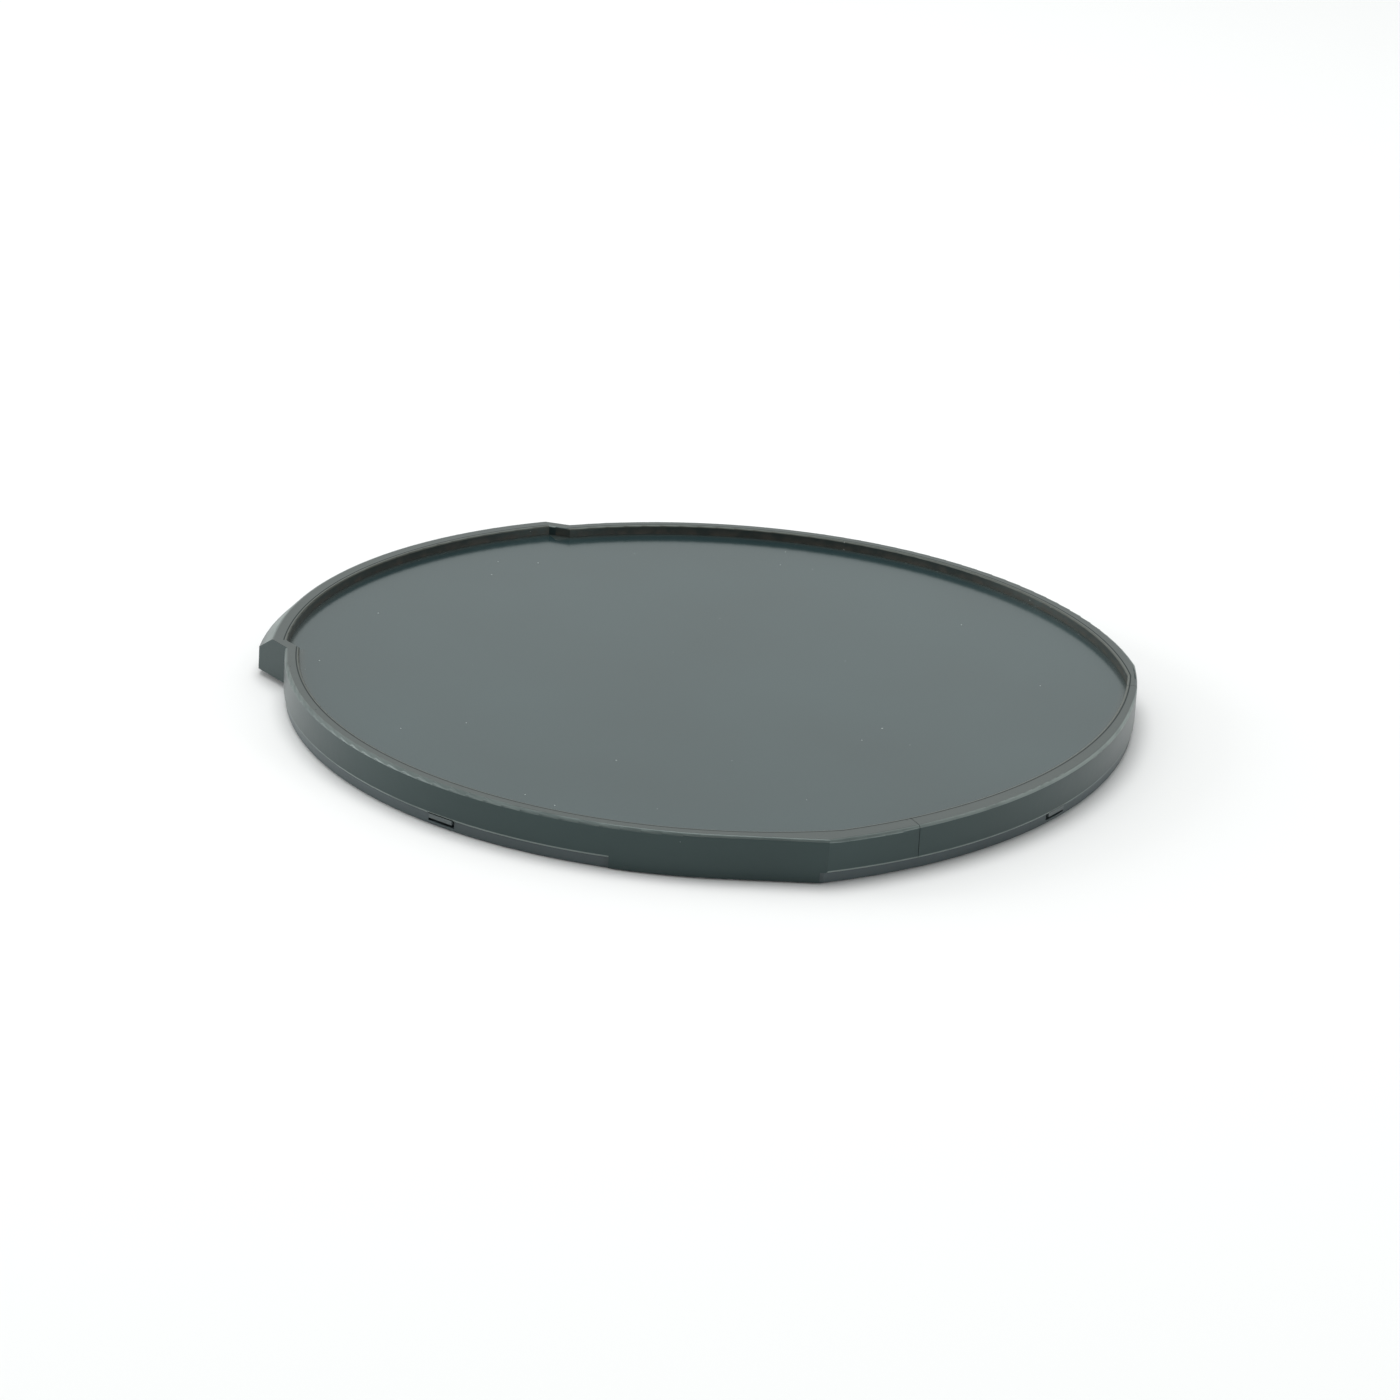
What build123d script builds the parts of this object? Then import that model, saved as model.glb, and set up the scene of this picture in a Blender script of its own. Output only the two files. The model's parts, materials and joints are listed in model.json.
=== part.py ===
"""Shallow round access cover with a raised rim, a flared wing on one side and a flattened opposite side.

Frame: +Z up, +Y towards the middle of the wing, -Y towards the flattened side, origin on the
resting surface under the middle of the plan box. Millimetres and degrees.
"""
import math
import os

from build123d import *

os.makedirs("parts", exist_ok=True)

# ---- plan ---------------------------------------------------------------------------------------
MAIN_R = 150.0  # outer edge of the rim
RIM_WIDTH = 5.0
WING_STEP = 5.0  # how far the rim jogs out along the wing
WING_HALF_ANGLE = 31.8
JOG_ANGLE = 2.4  # plan angle over which the rim slants out to the wing
FLARE = 5.0  # how far the wing's lip flares out beyond its rim
FLAT_OUTER_R = 186.5  # gentle arcs of the flattened side, about centres behind the main one
FLAT_OUTER_SHIFT = (-4.0, 44.0)
FLAT_INNER_R = 187.5
FLAT_INNER_SHIFT = (0.0, 51.5)
LEFT_SEAM_ANGLE = 29.4  # seams of the rim segment, from the middle of the flattened side
RIGHT_SEAM_ANGLE = 36.0
SEAM_GAP = 0.2
STRAIGHT_ANGLE = 55.0  # here the wall leaves the main circle and runs straight to a corner
LEFT_CORNER_ANGLE = 42.3  # that corner, where the straight wall meets the flat arc
RIGHT_CORNER_ANGLE = 44.0  # where the flat arc meets the main circle at its other end

# ---- heights ------------------------------------------------------------------------------------
HEIGHT = 15.5
LIP_HEIGHT = 4.0  # base ring showing under the skirt
RECESS = 3.3  # rim top down to the panel
PANEL_THICKNESS = 3.0
FLARE_DROP = 5.5  # rim top down to the widest line of the wing
WING_BOTTOM = 1.8

# ---- section ------------------------------------------------------------------------------------
SKIRT_THICKNESS = 2.6
PANEL_TUCK = 2.2  # panel edge under the rim
LIP_INSET = 0.8  # base ring's lip behind the skirt
BASE_INNER_INSET = 4.6
CLEARANCE = 0.1
BEAD = 0.35  # snap bead on the base ring
BEAD_LOW = 6.2
BEAD_HIGH = 7.2
TOP_ROUND = 1.2
ARRIS = 0.5
SMALL_ARRIS = 0.3
CORNER_ROUND = 3.0
CORNER_REACH = 60.0  # longer than the straight wall, which the flat arc cuts off
FOOT_START_ANGLE = 69.5  # from here nearly to the corner the skirt reaches down over the lip
FOOT_END_ANGLE = 43.2
FOOT_BOTTOM = 0.2

# ---- ribs under the panel -----------------------------------------------------------------------
RIB_DEPTH = 2.4
RIB_WIDTH = 2.0
RING_RIB_RADII = (132.0, 82.0, 26.0)
RADIAL_RIBS = 12

# ---- wing pockets -------------------------------------------------------------------------------
WING_WALL = 3.0
POCKET_TOP = 6.2
POCKETS = 5
POCKET_RIB_ANGLE = 1.0

# ---- snap catches -------------------------------------------------------------------------------
LEFT_CATCH_ANGLE = 176.6  # plan angles about the centre of the arc that each one stands on
RIGHT_CATCH_ANGLE = -2.7
FRONT_CATCH_ANGLE = 269.4
WINDOW_WIDTH = 11.0
WINDOW_BOTTOM = 1.2
CATCH_WIDTH = 9.8
CATCH_PROUD = 0.6
NOSE_TOP = 3.9
NOSE_TIP_LOW = 2.4
NOSE_LOW = 2.3
ARM_INNER = 5.5  # arm faces, measured inwards from the lip's outer face
ARM_OUTER = 4.2
NECK = 0.7  # thin flexing neck between the arm and its root bar
NECK_LENGTH = 1.5
ROOT_Z = 7.4
ROOT_R = 0.9
ROOT_DEPTH = 4.9  # root bar's axis, inwards from the lip's outer face
EAR_WIDTH = 2.2
EAR_RADIUS = 1.7
RELIEF_HEIGHT = 0.4  # notch in the skirt's edge over each window

# ---- worked out ---------------------------------------------------------------------------------
PANEL_TOP = HEIGHT - RECESS
PANEL_BOTTOM = PANEL_TOP - PANEL_THICKNESS
SKIRT_BOTTOM = LIP_HEIGHT
FLAT_REACH = math.sqrt(FLAT_OUTER_R**2 - FLAT_OUTER_SHIFT[0] ** 2) - FLAT_OUTER_SHIFT[1]
JOG_END_ANGLE = WING_HALF_ANGLE + JOG_ANGLE
LEG_FACE = LIP_INSET - BASE_INNER_INSET  # leg's inner face in a catch's own plane


def wing_radius(inset, reach):
    """Radius where the slanted jog line, carried on, stands `reach` outside its start."""
    share = reach / WING_STEP
    jog = math.radians(JOG_ANGLE)
    inner = MAIN_R - inset
    outer = inner + WING_STEP
    along = inner + (outer * math.cos(jog) - inner) * share
    across = outer * math.sin(jog) * share
    return math.hypot(along, across)


WING_OUTER = wing_radius(0, WING_STEP + FLARE)
CENTRE_Y = -(WING_OUTER - FLAT_REACH) / 2
CENTRE = (0, CENTRE_Y)


def polar(radius, angle):
    """Point at a radius and a plan angle about the main centre."""
    a = math.radians(angle)
    return (radius * math.cos(a), CENTRE_Y + radius * math.sin(a))


def flat_arc(inset):
    """Centre and radius of the flattened side's arc, between its outer and its inner one."""
    share = inset / RIM_WIDTH
    x = FLAT_OUTER_SHIFT[0] + share * (FLAT_INNER_SHIFT[0] - FLAT_OUTER_SHIFT[0])
    y = FLAT_OUTER_SHIFT[1] + share * (FLAT_INNER_SHIFT[1] - FLAT_OUTER_SHIFT[1])
    return (x, CENTRE_Y + y), FLAT_OUTER_R + share * (FLAT_INNER_R - FLAT_OUTER_R)


def jog_point(inset, reach, side):
    """Point on the slanted jog line, `reach` beyond the main circle, on one side of the wing."""
    start = Vector(*polar(MAIN_R - inset, 90 + side * JOG_END_ANGLE))
    end = Vector(*polar(MAIN_R - inset + WING_STEP, 90 + side * WING_HALF_ANGLE))
    point = start + (end - start) * (reach / WING_STEP)
    return (point.X, point.Y)


def draw_wing(inset, reach, root_radius):
    """Wing sector: an arc between the two jog lines, closed towards the main centre."""
    left = jog_point(inset, reach, 1)
    right = jog_point(inset, reach, -1)
    with BuildLine() as outline:
        Polyline(
            right,
            polar(MAIN_R - inset, 90 - JOG_END_ANGLE),
            polar(root_radius, 90 - JOG_END_ANGLE),
            polar(root_radius, 90 + JOG_END_ANGLE),
            polar(MAIN_R - inset, 90 + JOG_END_ANGLE),
            left,
        )
        ThreePointArc(left, polar(wing_radius(inset, reach), 90), right)
    make_face(outline.edges())


def draw_plan(inset, wing=False):
    """Round plan with its flattened side, drawn `inset` inside the rim's outer edge."""
    flat_centre, flat_radius = flat_arc(inset)
    with BuildSketch(mode=Mode.PRIVATE) as plan:
        with Locations(CENTRE):
            Circle(MAIN_R - inset)
        with Locations(flat_centre):
            Circle(flat_radius, mode=Mode.INTERSECT)
    add(plan.sketch)
    if wing:
        draw_wing(inset, WING_STEP, MAIN_R / 2)


def draw_corner(inset):
    """Stretch before the left seam: a straight wall, then the flat arc outside the main circle."""
    flat_centre, flat_radius = flat_arc(inset)
    start = Vector(*polar(MAIN_R - inset, -90 - STRAIGHT_ANGLE))
    along = Vector(1, 0).rotate(Axis.Z, -STRAIGHT_ANGLE)
    end = start + along * CORNER_REACH
    with BuildSketch(mode=Mode.PRIVATE) as corner:
        with Locations(flat_centre):
            Circle(flat_radius)
        with BuildLine() as outline:
            Polyline(
                CENTRE,
                (start.X, start.Y),
                (end.X, end.Y),
                polar(WING_OUTER, -90 - LEFT_SEAM_ANGLE),
                close=True,
            )
        make_face(outline.edges(), mode=Mode.INTERSECT)
    add(corner.sketch)


def draw_plan_cut(inset):
    """Take the plan, drawn `inset` inside the outer edge, out of the sketch in hand."""
    with BuildSketch(mode=Mode.PRIVATE) as core:
        draw_plan(inset)
    add(core.sketch, mode=Mode.SUBTRACT)


def draw_pocket(number):
    """One of the pockets under the wing, between its outer wall and the skirt."""
    span = 2 * WING_HALF_ANGLE / POCKETS
    start = 90 - WING_HALF_ANGLE + number * span + POCKET_RIB_ANGLE
    end = start + span - 2 * POCKET_RIB_ANGLE
    middle = (start + end) / 2
    outer = WING_OUTER - WING_WALL
    with BuildLine() as outline:
        ThreePointArc(polar(MAIN_R, start), polar(MAIN_R, middle), polar(MAIN_R, end))
        Line(polar(MAIN_R, end), polar(outer, end))
        ThreePointArc(polar(outer, end), polar(outer, middle), polar(outer, start))
        Line(polar(outer, start), polar(MAIN_R, start))
    make_face(outline.edges())


def draw_reliefs():
    """Shallow notches in the skirt's lower edge, one over each window."""
    for plane in catches.values():
        with BuildSketch(plane) as notch:
            with Locations((-SKIRT_THICKNESS / 2, SKIRT_BOTTOM)):
                Rectangle(2 * SKIRT_THICKNESS, 2 * RELIEF_HEIGHT)
        extrude(notch.sketch, amount=WINDOW_WIDTH / 2, both=True, mode=Mode.SUBTRACT)


def draw_seam_sector(gap):
    """Sector between the two seams, widened (or narrowed) by a small angle at each."""
    reach = 1.3 * MAIN_R  # far enough out for the straight closing side to clear the rim
    left = -90 - LEFT_SEAM_ANGLE - gap
    right = -90 + RIGHT_SEAM_ANGLE + gap
    with BuildLine() as outline:
        Polyline(CENTRE, polar(reach, left), polar(reach, right), close=True)
    make_face(outline.edges())


def draw_foot_sector(gap, mode):
    """Sector in which the skirt reaches down, widened by a small angle at each end."""
    reach = 1.3 * MAIN_R
    start = -90 - FOOT_START_ANGLE - gap
    end = -90 - FOOT_END_ANGLE + gap
    with BuildLine() as outline:
        Polyline(CENTRE, polar(reach, start), polar(reach, end), close=True)
    make_face(outline.edges(), mode=mode)


def catch_planes():
    """Name and plane of each catch: x outwards from the lip, y up, origin on the lip's outer face."""
    flat_centre, flat_radius = flat_arc(LIP_INSET)
    places = (
        ("left_catch", LEFT_CATCH_ANGLE, CENTRE, MAIN_R - LIP_INSET),
        ("right_catch", RIGHT_CATCH_ANGLE, CENTRE, MAIN_R - LIP_INSET),
        ("front_catch", FRONT_CATCH_ANGLE, flat_centre, flat_radius),
    )
    found = {}
    for label, angle, centre, radius in places:
        outwards = Vector(1, 0).rotate(Axis.Z, angle)
        tangent = outwards.cross(Vector(0, 0, 1))
        found[label] = Plane(origin=Vector(*centre) + outwards * radius, x_dir=outwards, z_dir=tangent)
    return found


def round_corner(builder, place, radius):
    """Round the upright edge nearest one place."""
    upright = builder.edges().filter_by(Axis.Z)
    edge = upright.sort_by_distance((place[0], place[1], LIP_HEIGHT / 2))[0]
    fillet(edge, radius)


def edges_at(builder, places, height):
    """The edges that run through some places at one height."""
    return [builder.edges().sort_by_distance((x, y, height))[0] for x, y in places]


catches = catch_planes()
half_gap = math.degrees(SEAM_GAP / 2 / MAIN_R)
left_wall = polar(MAIN_R, 180)
right_wall = polar(MAIN_R, 0)
front_wall = (0, CENTRE_Y - FLAT_REACH)
front_inner_wall = (0, CENTRE_Y + FLAT_INNER_SHIFT[1] - FLAT_INNER_R)
wing_wall = polar(MAIN_R + WING_STEP, 90)
foot_wall = polar(MAIN_R, -90 - (FOOT_START_ANGLE + STRAIGHT_ANGLE) / 2)
lip_left = polar(MAIN_R - LIP_INSET, 180)
lip_right = polar(MAIN_R - LIP_INSET, 0)

# ---- main rim: skirt, rim and the flared wing ----------------------------------------------------
with BuildPart() as rim_ring:
    with BuildSketch(Plane.XY.offset(SKIRT_BOTTOM)):
        draw_plan(0)
        draw_corner(0)
    extrude(amount=HEIGHT - SKIRT_BOTTOM)
    # the wing: straight wall below its widest line, sloping in to the rim above it
    with BuildSketch(Plane.XY.offset(WING_BOTTOM)):
        draw_wing(0, WING_STEP + FLARE, MAIN_R - SKIRT_THICKNESS)
    extrude(amount=HEIGHT - FLARE_DROP - WING_BOTTOM)
    with BuildSketch(Plane.XY.offset(HEIGHT - FLARE_DROP)):
        draw_wing(0, WING_STEP + FLARE, MAIN_R - SKIRT_THICKNESS)
    with BuildSketch(Plane.XY.offset(HEIGHT)):
        draw_wing(0, WING_STEP, MAIN_R - SKIRT_THICKNESS)
    loft(ruled=True)
    # open top down to the panel, then the rebate that takes the panel and the base ring
    with BuildSketch(Plane.XY.offset(PANEL_TOP)):
        draw_plan(RIM_WIDTH, wing=True)
    extrude(amount=HEIGHT, mode=Mode.SUBTRACT)
    with BuildSketch():
        draw_plan(0)
    extrude(amount=LIP_HEIGHT, mode=Mode.SUBTRACT)
    with BuildSketch():
        draw_plan(SKIRT_THICKNESS)
    extrude(amount=PANEL_TOP, mode=Mode.SUBTRACT)
    with BuildSketch(Plane.XY.offset(PANEL_BOTTOM - CLEARANCE)):
        draw_plan(SKIRT_THICKNESS, wing=True)
    extrude(amount=PANEL_THICKNESS + CLEARANCE, mode=Mode.SUBTRACT)
    # the stretch before the left corner, whose skirt covers the lip
    with BuildSketch(Plane.XY.offset(FOOT_BOTTOM)):
        draw_plan(0)
        draw_corner(0)
        draw_foot_sector(0, Mode.INTERSECT)
        draw_plan_cut(SKIRT_THICKNESS)
    extrude(amount=SKIRT_BOTTOM - FOOT_BOTTOM)
    with BuildSketch(Plane.XY.offset(BEAD_LOW - CLEARANCE)):
        draw_plan(SKIRT_THICKNESS - BEAD - CLEARANCE)
    extrude(amount=BEAD_HIGH - BEAD_LOW + 2 * CLEARANCE, mode=Mode.SUBTRACT)
    # pockets that core out the wing from below
    for i in range(POCKETS):
        with BuildSketch(Plane.XY.offset(WING_BOTTOM)):
            draw_pocket(i)
        extrude(amount=POCKET_TOP - WING_BOTTOM, mode=Mode.SUBTRACT)
    top_face = rim_ring.faces().sort_by(Axis.Z)[-1]
    fillet(top_face.inner_wires()[0].edges(), ARRIS)
    round_corner(rim_ring, polar(MAIN_R, -90 + RIGHT_CORNER_ANGLE), CORNER_ROUND)
    round_corner(rim_ring, polar(MAIN_R, -90 - LEFT_CORNER_ANGLE), CORNER_ROUND)
    fillet(edges_at(rim_ring, (left_wall, right_wall, wing_wall), HEIGHT), TOP_ROUND)
    chamfer(edges_at(rim_ring, (left_wall, right_wall), SKIRT_BOTTOM), SMALL_ARRIS)
    chamfer(edges_at(rim_ring, (foot_wall,), FOOT_BOTTOM), SMALL_ARRIS)
    # room for the separate segment
    with BuildSketch():
        draw_seam_sector(half_gap)
    extrude(amount=HEIGHT, mode=Mode.SUBTRACT)
    draw_reliefs()
rim_ring.part.label = "rim_ring"
export_step(rim_ring.part, "parts/rim_ring.step")

# ---- rim segment that closes the flattened side --------------------------------------------------
with BuildPart() as rim_segment:
    with BuildSketch(Plane.XY.offset(SKIRT_BOTTOM)):
        draw_plan(0)
        draw_plan_cut(SKIRT_THICKNESS)
    extrude(amount=PANEL_TOP - SKIRT_BOTTOM)
    with BuildSketch(Plane.XY.offset(PANEL_TOP)):
        draw_plan(0)
        draw_plan_cut(RIM_WIDTH)
    extrude(amount=RECESS)
    with BuildSketch(Plane.XY.offset(BEAD_LOW - CLEARANCE)):
        draw_plan(SKIRT_THICKNESS - BEAD - CLEARANCE)
    extrude(amount=BEAD_HIGH - BEAD_LOW + 2 * CLEARANCE, mode=Mode.SUBTRACT)
    with BuildSketch():
        draw_seam_sector(-half_gap)
    extrude(amount=HEIGHT, mode=Mode.INTERSECT)
    fillet(edges_at(rim_segment, (front_wall,), HEIGHT), TOP_ROUND)
    fillet(edges_at(rim_segment, (front_inner_wall,), HEIGHT), ARRIS)
    chamfer(edges_at(rim_segment, (front_wall,), SKIRT_BOTTOM), SMALL_ARRIS)
    draw_reliefs()
rim_segment.part.label = "rim_segment"
export_step(rim_segment.part, "parts/rim_segment.step")

# ---- recessed panel with stiffening ribs ---------------------------------------------------------
radial_rib_length = RING_RIB_RADII[0] - RING_RIB_RADII[-1]
radial_rib_middle = RING_RIB_RADII[-1] - RIB_WIDTH / 2 + radial_rib_length / 2
with BuildPart() as floor_panel:
    with BuildSketch(Plane.XY.offset(PANEL_BOTTOM)):
        draw_plan(RIM_WIDTH - PANEL_TUCK, wing=True)
    extrude(amount=PANEL_THICKNESS)
    with BuildSketch(Plane.XY.offset(PANEL_BOTTOM - RIB_DEPTH)):
        with Locations(CENTRE):
            for radius in RING_RIB_RADII:
                Circle(radius)
                Circle(radius - RIB_WIDTH, mode=Mode.SUBTRACT)
            with PolarLocations(radial_rib_middle, RADIAL_RIBS):
                Rectangle(radial_rib_length, RIB_WIDTH)
    extrude(amount=RIB_DEPTH)
floor_panel.part.label = "floor_panel"
export_step(floor_panel.part, "parts/floor_panel.step")

# ---- base ring: lip below the skirt, leg behind it, windows and ears for the catches --------------
with BuildPart() as base_ring:
    with BuildSketch():
        draw_plan(LIP_INSET)
        draw_corner(LIP_INSET)
        draw_foot_sector(half_gap, Mode.SUBTRACT)
        draw_plan_cut(BASE_INNER_INSET)
    extrude(amount=LIP_HEIGHT - CLEARANCE)
    with BuildSketch():
        draw_plan(SKIRT_THICKNESS + CLEARANCE)
        draw_plan_cut(BASE_INNER_INSET)
    extrude(amount=PANEL_BOTTOM)
    with BuildSketch(Plane.XY.offset(BEAD_LOW)):
        draw_plan(SKIRT_THICKNESS - BEAD)
        draw_plan_cut(BASE_INNER_INSET)
    extrude(amount=BEAD_HIGH - BEAD_LOW)
    for plane in catches.values():
        with BuildSketch(plane) as window:
            with Locations((0, (WINDOW_BOTTOM + LIP_HEIGHT + RELIEF_HEIGHT) / 2)):
                Rectangle(4 * BASE_INNER_INSET, LIP_HEIGHT + RELIEF_HEIGHT - WINDOW_BOTTOM)
        extrude(window.sketch, amount=WINDOW_WIDTH / 2, both=True, mode=Mode.SUBTRACT)
        # the leg is pared back behind the window, so that every catch hangs at the same depth
        with BuildSketch(plane) as paring:
            with Locations((LEG_FACE - BASE_INNER_INSET / 2, PANEL_BOTTOM / 2)):
                Rectangle(BASE_INNER_INSET, PANEL_BOTTOM)
        extrude(paring.sketch, amount=WINDOW_WIDTH, both=True, mode=Mode.SUBTRACT)
        # two ears hang from the leg and hold the ends of the catch's root bar
        for side in (-1, 1):
            middle = side * (CATCH_WIDTH + EAR_WIDTH) / 2 + side * CLEARANCE
            with BuildSketch(plane.offset(middle)) as ear:
                with Locations((-ROOT_DEPTH, ROOT_Z)):
                    Circle(EAR_RADIUS)
                with Locations(((LEG_FACE - ROOT_DEPTH) / 2, ROOT_Z)):
                    Rectangle(ROOT_DEPTH + LEG_FACE + 1, 2 * EAR_RADIUS)
                with Locations((-ROOT_DEPTH, ROOT_Z)):
                    Circle(ROOT_R + CLEARANCE / 2, mode=Mode.SUBTRACT)
            extrude(ear.sketch, amount=EAR_WIDTH / 2, both=True)
    round_corner(base_ring, polar(MAIN_R - LIP_INSET, -90 + RIGHT_CORNER_ANGLE), CORNER_ROUND)
    round_corner(base_ring, polar(MAIN_R - LIP_INSET, -90 - LEFT_CORNER_ANGLE), CORNER_ROUND)
    chamfer(edges_at(base_ring, (lip_left, lip_right), 0), SMALL_ARRIS)
base_ring.part.label = "base_ring"
export_step(base_ring.part, "parts/base_ring.step")

# ---- snap catches ---------------------------------------------------------------------------------
for label, plane in catches.items():
    with BuildPart() as catch:
        with BuildSketch(plane) as side_view:
            with BuildLine():
                Polyline(
                    (CATCH_PROUD, NOSE_TOP),
                    (CATCH_PROUD, NOSE_TIP_LOW),
                    (-ARM_OUTER, NOSE_LOW),
                    (-ARM_INNER, NOSE_LOW),
                    (-ARM_INNER, ROOT_Z - NECK_LENGTH),
                    (-ROOT_DEPTH - NECK / 2, ROOT_Z),
                    (-ROOT_DEPTH + NECK / 2, ROOT_Z),
                    (-ARM_OUTER, ROOT_Z - NECK_LENGTH),
                    (-ARM_OUTER, NOSE_TOP),
                    close=True,
                )
            make_face()
        extrude(amount=CATCH_WIDTH / 2, both=True)
        with BuildSketch(plane):
            with Locations((-ROOT_DEPTH, ROOT_Z)):
                Circle(ROOT_R)
        extrude(amount=CATCH_WIDTH / 2 + EAR_WIDTH, both=True)
    catch.part.label = label
    export_step(catch.part, f"parts/{label}.step")
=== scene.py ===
"""Looks of a shallow round access cover: satin rim, glossy recessed panel, base strip and snap catches."""
import json
import math

import bpy
from mathutils import Matrix, Vector


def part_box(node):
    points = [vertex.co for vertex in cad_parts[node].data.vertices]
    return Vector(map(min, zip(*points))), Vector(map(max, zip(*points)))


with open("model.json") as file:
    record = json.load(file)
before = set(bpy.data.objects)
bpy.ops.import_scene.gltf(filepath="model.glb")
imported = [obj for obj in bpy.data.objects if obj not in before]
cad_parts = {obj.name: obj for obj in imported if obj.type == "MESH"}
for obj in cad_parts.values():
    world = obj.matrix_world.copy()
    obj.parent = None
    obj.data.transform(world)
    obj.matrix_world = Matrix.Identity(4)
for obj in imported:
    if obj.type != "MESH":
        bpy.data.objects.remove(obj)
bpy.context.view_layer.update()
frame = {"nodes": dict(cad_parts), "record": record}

# ---- sizes, in metres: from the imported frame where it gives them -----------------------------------
RIM_LOW, RIM_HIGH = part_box("rim_ring")
MAIN_RADIUS = (RIM_HIGH.x - RIM_LOW.x) / 2
RIM_TOP = RIM_HIGH.z
PANEL_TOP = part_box("floor_panel")[1].z
SKIRT_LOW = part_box("rim_segment")[0].z
CENTRE = Vector((0.0, -0.0088988, 0.0))  # middle of the main circle in plan
RIM_WIDTH = 0.005
INNER_RADIUS = MAIN_RADIUS - RIM_WIDTH
FLAT_CENTRE = CENTRE + Vector((0.0, 0.0515, 0.0))
FLAT_RADIUS = 0.1875  # inner edge of the rim along the flattened side
WING_STEP = 0.005  # how far the rim jogs out along the wing
WING_SLOPE = math.tan(math.radians(31.8))  # half the wing's plan angle
WING_START_Y = 0.115  # the wing lies beyond this
FOOT_BACK_Y = -0.0614  # the skirt reaches down over the base in front of this
FOOT_RIGHT_X = -0.1035  # and to the left of this

# ---- camera --------------------------------------------------------------------------------------
VIEW_ANGLE = -147.4  # plan angle from the cover's middle to the camera
ELEVATION = 21.12
ROLL = 3.52
DISTANCE = 14 * MAIN_RADIUS
LENS = 155.3
SHIFT = (-0.0120, -0.0224)


def direction(plan_angle, elevation):
    """Unit vector at a plan angle and an elevation, in degrees."""
    a, e = math.radians(plan_angle), math.radians(elevation)
    return Vector((math.cos(a) * math.cos(e), math.sin(a) * math.cos(e), math.sin(e)))


def add_object(name, data):
    obj = bpy.data.objects.new(name, data)
    bpy.context.scene.collection.objects.link(obj)
    return obj


def aim(obj, place, target, roll=0.0):
    """Put a light or camera at a place, looking at a target."""
    look = (target - place).to_track_quat("-Z", "Y")
    obj.rotation_mode = "QUATERNION"
    obj.location = place
    obj.rotation_quaternion = look @ Matrix.Rotation(math.radians(roll), 3, "Z").to_quaternion()


camera = add_object("camera", bpy.data.cameras.new("camera"))
camera.data.lens = LENS
camera.data.shift_x, camera.data.shift_y = SHIFT
camera.data.clip_start, camera.data.clip_end = 0.05, 50
camera_target = CENTRE + Vector((0, 0, RIM_TOP))
aim(camera, camera_target + direction(VIEW_ANGLE, ELEVATION) * DISTANCE, camera_target, ROLL)
bpy.context.scene.camera = camera
bpy.context.scene.view_settings.view_transform = "Standard"


# ---- node helpers --------------------------------------------------------------------------------
class Graph:
    """A material's or world's node tree, with short calls for the nodes used below."""

    def __init__(self, owner):
        owner.use_nodes = True
        self.tree = owner.node_tree
        self.tree.nodes.clear()

    def node(self, kind, **settings):
        node = self.tree.nodes.new(kind)
        for key, value in settings.items():
            setattr(node, key, value)
        return node

    def join(self, source, target):
        self.tree.links.new(source, target)

    def put(self, value, socket):
        """Link a socket, or set a plain value."""
        if isinstance(value, bpy.types.NodeSocket):
            self.join(value, socket)
        else:
            socket.default_value = value

    def math(self, operation, a, b=0.0, clamp=False):
        node = self.node("ShaderNodeMath", operation=operation, use_clamp=clamp)
        self.put(a, node.inputs[0])
        self.put(b, node.inputs[1])
        return node.outputs[0]

    def noise(self, place, scale, detail=2.0, roughness=0.5):
        node = self.node("ShaderNodeTexNoise")
        self.put(place, node.inputs["Vector"])
        node.inputs["Scale"].default_value = scale
        node.inputs["Detail"].default_value = detail
        node.inputs["Roughness"].default_value = roughness
        return node.outputs["Fac"]

    def ramp(self, value, low, high, out_low, out_high):
        node = self.node("ShaderNodeMapRange", clamp=True, interpolation_type="SMOOTHSTEP")
        for socket, setting in zip(node.inputs, (value, low, high, out_low, out_high)):
            self.put(setting, socket)
        return node.outputs[0]

    def mix(self, share, a, b):
        node = self.node("ShaderNodeMix", data_type="RGBA")
        for socket, setting in ((node.inputs[0], share), (node.inputs[6], a), (node.inputs[7], b)):
            self.put(setting, socket)
        return node.outputs[2]

    def distance(self, place, centre):
        """Distance in plan from an upright line."""
        flat = self.node("ShaderNodeVectorMath", operation="MULTIPLY")
        self.join(place, flat.inputs[0])
        flat.inputs[1].default_value = (1, 1, 0)
        away = self.node("ShaderNodeVectorMath", operation="DISTANCE")
        self.join(flat.outputs[0], away.inputs[0])
        away.inputs[1].default_value = (centre.x, centre.y, 0)
        return away.outputs["Value"]

    def band(self, value, low, high, soft):
        """1 between two values, fading to 0 over a soft width outside them."""
        rise = self.ramp(value, low - soft, low, 0, 1)
        fall = self.ramp(value, high, high + soft, 1, 0)
        return self.math("MULTIPLY", rise, fall)

    def both(self, *masks):
        """1 where every mask is."""
        share = masks[0]
        for mask in masks[1:]:
            share = self.math("MULTIPLY", share, mask)
        return share

    def split(self, vector):
        """The x, y and z of a vector."""
        node = self.node("ShaderNodeSeparateXYZ")
        self.join(vector, node.inputs[0])
        return node.outputs

    def bump(self, height, strength, distance):
        node = self.node("ShaderNodeBump")
        node.inputs["Strength"].default_value = strength
        node.inputs["Distance"].default_value = distance
        self.join(height, node.inputs["Height"])
        return node.outputs["Normal"]


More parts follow.
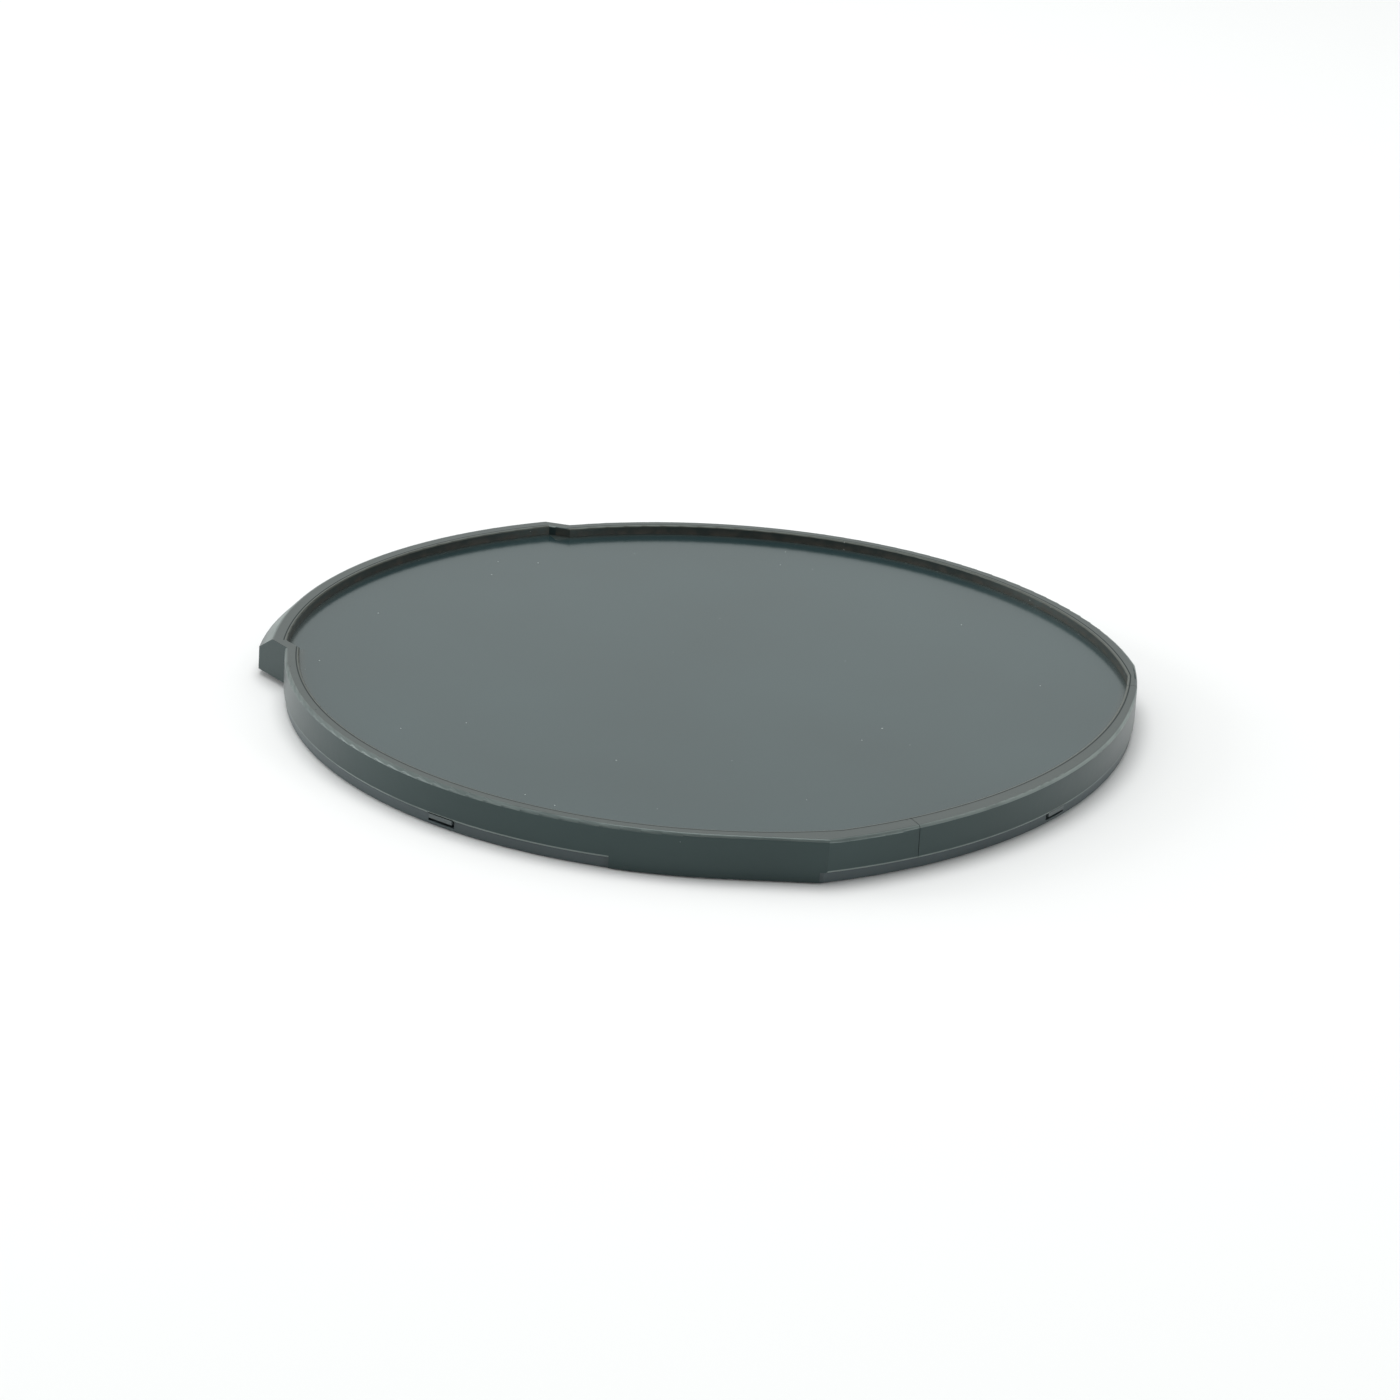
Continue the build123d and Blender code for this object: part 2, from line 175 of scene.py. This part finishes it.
def specks(g, place, spacing, size, share):
    """Small sparse dots: one in some of the cells of a 3-D grid."""
    cells = g.node("ShaderNodeTexVoronoi")
    g.join(place, cells.inputs["Vector"])
    cells.inputs["Scale"].default_value = 1 / spacing
    luck = g.node("ShaderNodeSeparateColor")
    g.join(cells.outputs["Color"], luck.inputs[0])
    chosen = g.math("GREATER_THAN", luck.outputs[0], 1 - share)
    radius = g.math("MULTIPLY", luck.outputs[1], size / spacing)
    near = g.math("LESS_THAN", cells.outputs["Distance"], radius)
    return g.math("MULTIPLY", chosen, near)


# ---- plastic ---------------------------------------------------------------------------------------
DUST = (0.42, 0.45, 0.44, 1)
# pale: real scratches on the panel, and painted highlights and a painted floor reflection along the rim's
# edges
SCUFF_AND_HIGHLIGHT = (0.18, 0.21, 0.20, 1)
# paler brown: silt, which on the rim's inner wall also serves as painted light
SILT_AND_PAINTED_LIGHT = (0.075, 0.066, 0.055, 1)
# pale painted highlight along the rim's inner arris
INNER_EDGE_HIGHLIGHT = (0.075, 0.078, 0.066, 1)
# rim top painted lighter and warmer than the walls, for the light it catches from above
RIM_TOP_LIT_COLOUR = (0.032, 0.040, 0.038, 1)
# dark painted shade line on the rim top, just outside the painted highlight
SHADE_LINE_COLOUR = (0.006, 0.008, 0.008, 1)
SOFT = 0.0002  # width over which a painted line fades
# the first band holds the painted highlight, the second the painted shade line
INNER_HIGHLIGHT_BAND = (-0.0003, 0.0006)  # bands across the rim, measured outwards from its inner edge
SHADE_LINE_BAND = (0.0009, 0.0012)
OUTER_PART = 0.0036
LOWER_EDGE = (SKIRT_LOW - 0.001, SKIRT_LOW + 0.0005)
SCRATCHES = ((0.35, 46), (1.2, 38), (2.3, 52))  # turn in radians and noise scale of each set
SCRATCH_STRETCH = 26


class Plastic(Graph):
    """Moulded plastic: slightly uneven colour and gloss, a fine mould grain and sparse dust."""

    def __init__(self, name, colour, roughness, speckle, grain):
        self.material = bpy.data.materials.new(name)
        super().__init__(self.material)
        self.place = self.node("ShaderNodeTexCoord").outputs["Object"]
        self.shader = self.node("ShaderNodeBsdfPrincipled")
        self.join(self.shader.outputs[0], self.node("ShaderNodeOutputMaterial").inputs[0])
        self.shader.inputs["IOR"].default_value = 1.5
        cloud = self.noise(self.place, 14, 3)
        light = [c * 1.3 for c in colour] + [1]
        dark = [c * 0.7 for c in colour] + [1]
        self.base = self.mix(cloud, dark, light)
        self.rough = self.ramp(cloud, 0.0, 1.0, roughness * 0.88, roughness * 1.12)
        self.grain = grain
        self.height = self.noise(self.place, 420, 4)
        self.wear_and_painted_light(specks(self, self.place, 0.0065, 0.00032, speckle), DUST, 0.75, 0.4)

    def wear_and_painted_light(self, mask, colour, share, rougher):
        """Lay another, duller colour over the plastic where the mask is high: real dust and scratches, and
        also painted highlights and painted light.
        """
        self.base = self.mix(self.math("MULTIPLY", mask, share), self.base, colour)
        self.rough = self.math("ADD", self.rough, self.math("MULTIPLY", mask, rougher), clamp=True)

    def done(self):
        self.join(self.base, self.shader.inputs["Base Color"])
        self.join(self.rough, self.shader.inputs["Roughness"])
        self.join(self.bump(self.height, self.grain, 0.0004), self.shader.inputs["Normal"])
        return self.material


def edge_distance(g):
    """How far outside the rim's inner edge a point stands: 0 at the inner arris, 5 mm at the outer one."""
    x, y, _ = g.split(g.place)
    ahead = g.math("SUBTRACT", y, CENTRE.y)
    in_wing = g.math("LESS_THAN", g.math("ABSOLUTE", x), g.math("MULTIPLY", ahead, WING_SLOPE))
    round_edge = g.math("SUBTRACT", g.distance(g.place, CENTRE), INNER_RADIUS)
    round_edge = g.math("SUBTRACT", round_edge, g.math("MULTIPLY", in_wing, WING_STEP))
    flat_edge = g.math("SUBTRACT", g.distance(g.place, FLAT_CENTRE), FLAT_RADIUS)
    return g.math("MAXIMUM", round_edge, flat_edge)


def rim_finish():
    """Satin rim: bluish walls, a top painted lighter and warmer for the light it catches from above, pale
    painted highlights along its arrises with a painted shade line by the inner one, and a paler brown tone
    low on its inner wall, partly silt and partly painted light.
    """
    g = Plastic("rim_plastic", (0.019, 0.033, 0.034), 0.315, 0.18, 0.06)
    g.shader.inputs["Specular Tint"].default_value = (0.84, 1.0, 0.97, 1)
    x, y, up = g.split(g.place)
    tilt = g.split(g.node("ShaderNodeNewGeometry").outputs["Normal"])[2]
    edge = edge_distance(g)
    outer = g.math("GREATER_THAN", edge, OUTER_PART)
    above_panel = g.math("GREATER_THAN", up, PANEL_TOP - 0.0002)
    near_top = g.math("GREATER_THAN", up, RIM_TOP - 0.0006)
    on_top = g.both(g.math("GREATER_THAN", tilt, 0.9), near_top)

    # the top: a tone painted lighter and warmer than the walls for the light it catches from above, a pale
    # painted highlight along the inner arris and a dark painted shade line outside it
    g.base = g.mix(on_top, g.base, RIM_TOP_LIT_COLOUR)
    g.wear_and_painted_light(g.both(g.band(edge, *INNER_HIGHLIGHT_BAND, SOFT), near_top), INNER_EDGE_HIGHLIGHT, 0.8, 0.1)
    shade_line = g.both(g.band(edge, *SHADE_LINE_BAND, 0.00015), on_top)
    g.base = g.mix(g.math("MULTIPLY", shade_line, 0.85), g.base, SHADE_LINE_COLOUR)
    g.rough = g.math("ADD", g.rough, g.math("MULTIPLY", shade_line, 0.5), clamp=True)

    # painted highlights along the outer rounding, fainter to the left where it lies in more shade, and a
    # painted reflection of the pale floor along the skirt's lower edge
    patchy = g.ramp(g.noise(g.place, 90, 3), 0.3, 0.62, 0.35, 1)
    uneven = g.ramp(patchy, 0.3, 1.0, 0.7, 1.0)
    rounding = g.both(outer, g.band(tilt, 0.3, 0.9, 0.1), above_panel)
    g.wear_and_painted_light(g.both(rounding, g.ramp(x, -0.12, 0.0, 0.45, 1), uneven), SCUFF_AND_HIGHLIGHT, 1.0, 0.15)
    right_of_foot = g.math("GREATER_THAN", x, FOOT_RIGHT_X)
    behind_foot = g.math("GREATER_THAN", y, FOOT_BACK_Y)
    beside_foot = g.math("MAXIMUM", right_of_foot, behind_foot)
    off_wing = g.math("LESS_THAN", y, WING_START_Y)
    g.wear_and_painted_light(g.both(g.band(up, *LOWER_EDGE, SOFT), outer, beside_foot, off_wing, uneven), SCUFF_AND_HIGHLIGHT, 1.0, 0.15)

    # a paler brown tone on the inner wall, strongest low down: partly silt and partly painted light lifting
    # a wall the lamps leave too dark; and dust on it
    inner_wall = g.both(above_panel, g.math("LESS_THAN", tilt, 0.5), g.math("LESS_THAN", edge, 0.0034))
    low = g.ramp(up, PANEL_TOP, RIM_TOP - 0.0004, 1, 0.45)
    streaky = g.ramp(g.noise(g.place, 260, 4), 0.35, 0.65, 0.45, 1)
    g.wear_and_painted_light(g.both(inner_wall, low, streaky), SILT_AND_PAINTED_LIGHT, 0.85, 0.25)
    g.wear_and_painted_light(g.both(inner_wall, specks(g, g.place, 0.0022, 0.00024, 0.3)), DUST, 0.7, 0.3)
    return g.done()


def panel_finish():
    """Glossy panel with hairline scratches and dust gathered along the wall round it."""
    g = Plastic("panel_plastic", (0.019, 0.037, 0.040), 0.17, 0.5, 0.012)
    g.shader.inputs["Specular Tint"].default_value = (0.80, 1.0, 0.99, 1)
    marks = 0.0
    for turn, scale in SCRATCHES:
        mapping = g.node("ShaderNodeMapping")
        g.join(g.place, mapping.inputs["Vector"])
        mapping.inputs["Rotation"].default_value = (0, 0, turn)
        mapping.inputs["Scale"].default_value = (1, SCRATCH_STRETCH, 1)
        line = g.ramp(g.noise(mapping.outputs[0], scale, 1), 0.745, 0.77, 0, 1)
        marks = g.math("ADD", marks, line, clamp=True)
    g.wear_and_painted_light(marks, SCUFF_AND_HIGHLIGHT, 0.035, 0.05)
    near_wall = g.ramp(edge_distance(g), -0.0035, 0.0, 0, 1)
    g.wear_and_painted_light(g.both(near_wall, specks(g, g.place, 0.0020, 0.00022, 0.22)), DUST, 0.6, 0.3)
    g.wear_and_painted_light(near_wall, SILT_AND_PAINTED_LIGHT, 0.3, 0.12)
    return g.done()


def plain_finish(name, colour, roughness):
    """Plastic of the base strip and the catches, with nothing on it but the dust and uneven tone every
    plastic here gets.
    """
    return Plastic(name, colour, roughness, 0.12, 0.12).done()


finishes = {
    "rim": rim_finish(),
    "panel": panel_finish(),
    # the base strip is painted paler than the rim's walls, making up for the shade it lies in under the
    # skirt
    "base": plain_finish("base_plastic", (0.052, 0.071, 0.076), 0.34),
    # the catches are painted paler than the rim: partly their own mid-grey tone, partly standing in for the
    # highlights along their edges
    "catch": plain_finish("catch_plastic", (0.085, 0.105, 0.108), 0.34),
}
for name, obj in frame["nodes"].items():
    slot = next(s["material_slot"] for s in frame["record"]["subparts"] if s["node"] == name)
    obj.material_slots[0].material = finishes[slot]

# ---- studio: pale floor, soft light ---------------------------------------------------------------
FLOOR_REACH = 30.0
FLOOR_DROP = 0.0002  # just under what the cover rests on

floor_mesh = bpy.data.meshes.new("studio_floor")
floor_corners = [(x * FLOOR_REACH, y * FLOOR_REACH, 0) for x, y in ((-1, -1), (1, -1), (1, 1), (-1, 1))]
floor_mesh.from_pydata(floor_corners, [], [(0, 1, 2, 3)])
studio_floor = add_object("studio_floor", floor_mesh)
studio_floor.location = (0, 0, -FLOOR_DROP)
floor_paint = bpy.data.materials.new("studio_floor")
g = Graph(floor_paint)
paint = g.node("ShaderNodeBsdfPrincipled")
g.join(paint.outputs[0], g.node("ShaderNodeOutputMaterial").inputs[0])
paint.inputs["Base Color"].default_value = (0.86, 0.86, 0.86, 1)
paint.inputs["Roughness"].default_value = 0.9
paint.inputs["Specular IOR Level"].default_value = 0.1
floor_mesh.materials.append(floor_paint)

BRIGHT_SIDE = direction(VIEW_ANGLE + 202, 0)  # the sky is brighter behind the cover and to its left
world = bpy.data.worlds.new("studio")
bpy.context.scene.world = world
g = Graph(world)
sky = g.node("ShaderNodeBackground")
g.join(sky.outputs[0], g.node("ShaderNodeOutputWorld").inputs[0])
facing = g.node("ShaderNodeVectorMath", operation="DOT_PRODUCT")
g.join(g.node("ShaderNodeTexCoord").outputs["Generated"], facing.inputs[0])
facing.inputs[1].default_value = BRIGHT_SIDE
g.join(g.ramp(facing.outputs["Value"], -0.85, 0.9, 0.26, 0.97), sky.inputs["Strength"])
sky.inputs["Color"].default_value = (0.97, 1.0, 0.99, 1)


def softbox(name, plan_angle, elevation, distance, size, power):
    """Round soft light aimed at the cover."""
    light = add_object(name, bpy.data.lights.new(name, "AREA"))
    light.data.shape = "DISK"
    light.data.size = size
    light.data.energy = power
    aim(light, direction(plan_angle, elevation) * distance, CENTRE)


softbox("top_light", VIEW_ANGLE + 195, 76, 2.2, 1.6, 27)
softbox("left_light", VIEW_ANGLE - 100, 14, 2.4, 1.3, 26)
softbox("right_light", VIEW_ANGLE + 50, 12, 2.6, 0.9, 16)
